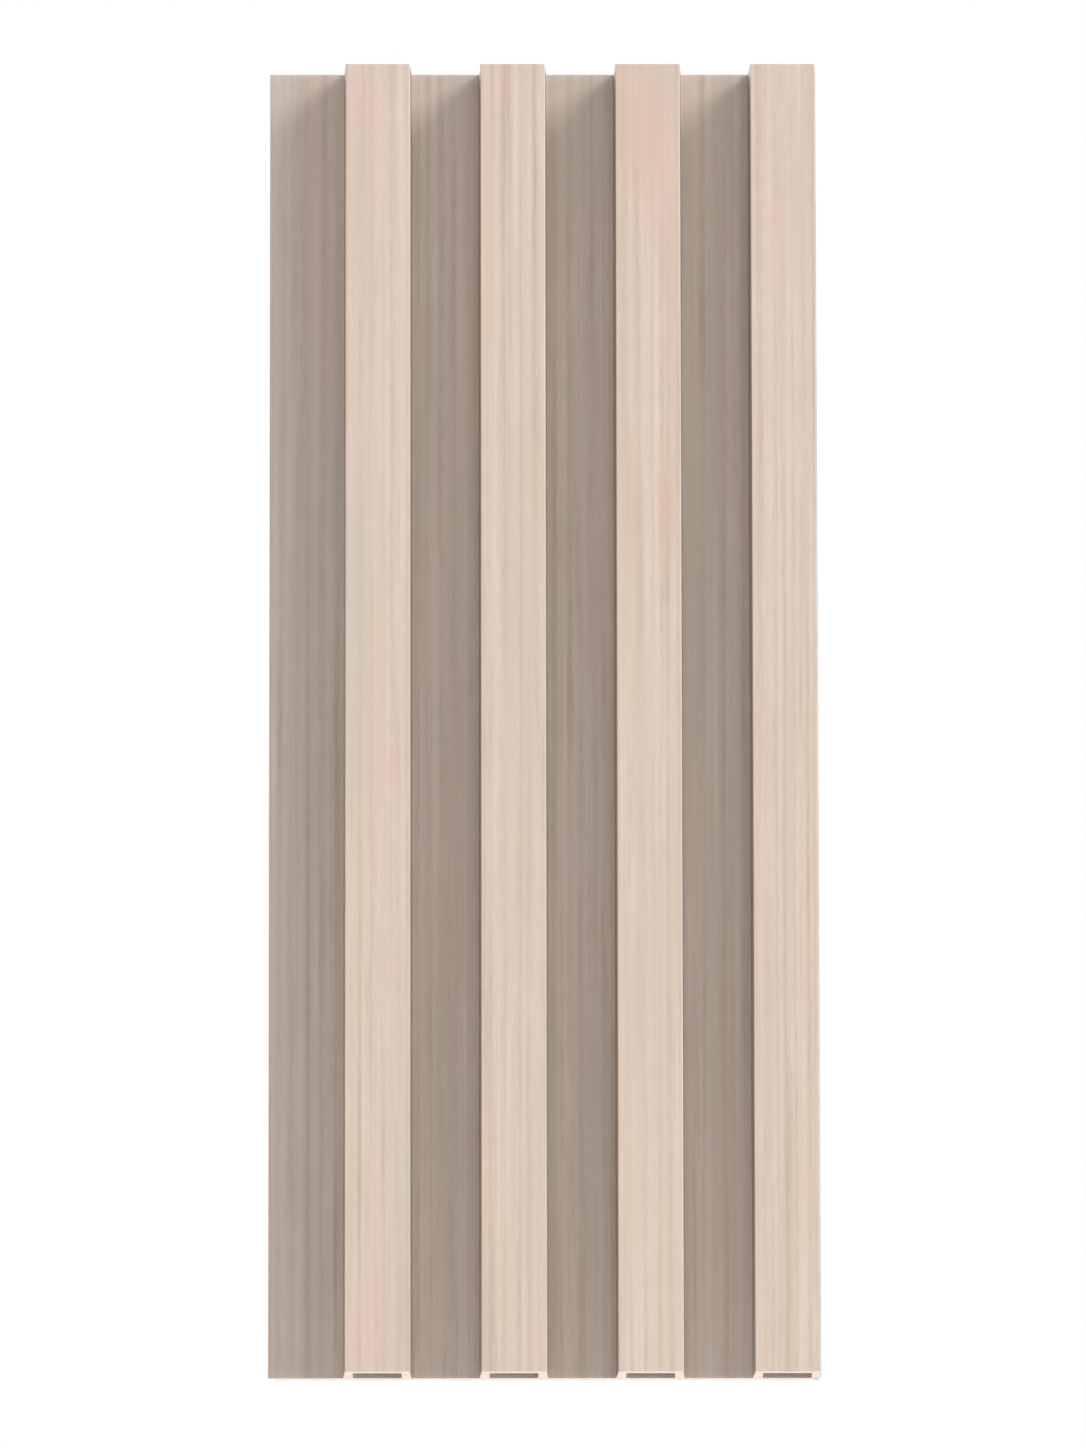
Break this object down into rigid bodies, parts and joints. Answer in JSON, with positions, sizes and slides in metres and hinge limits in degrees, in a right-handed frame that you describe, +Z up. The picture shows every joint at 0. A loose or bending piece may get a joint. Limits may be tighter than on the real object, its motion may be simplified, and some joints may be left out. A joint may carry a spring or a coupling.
{
  "type": "fluted wall panel",
  "caption": "Hollow extruded wall cladding board with square upright ribs, flat flutes between them, a wood-grain face, and a tongue and a groove along its long edges.",
  "frame": {"origin": "middle of the back face: half-way along the board and half-way between its two joint lines", "axes": "+Z up along the ribs; +Y out of the back face, into the wall; +X across the board, from the tongue to the groove, so the ribs face -Y"},
  "size_m": [0.2218, 0.026, 0.535],
  "materials": {
    "wood_plastic": "matt pale oak grain on the face, flutes and rib sides; bare pale core on the sawn ends, in the hollows and on the back"
  },
  "bodies": {
    "root": {"fluted_panel": "wood_plastic"}
  },
  "joints": []
}
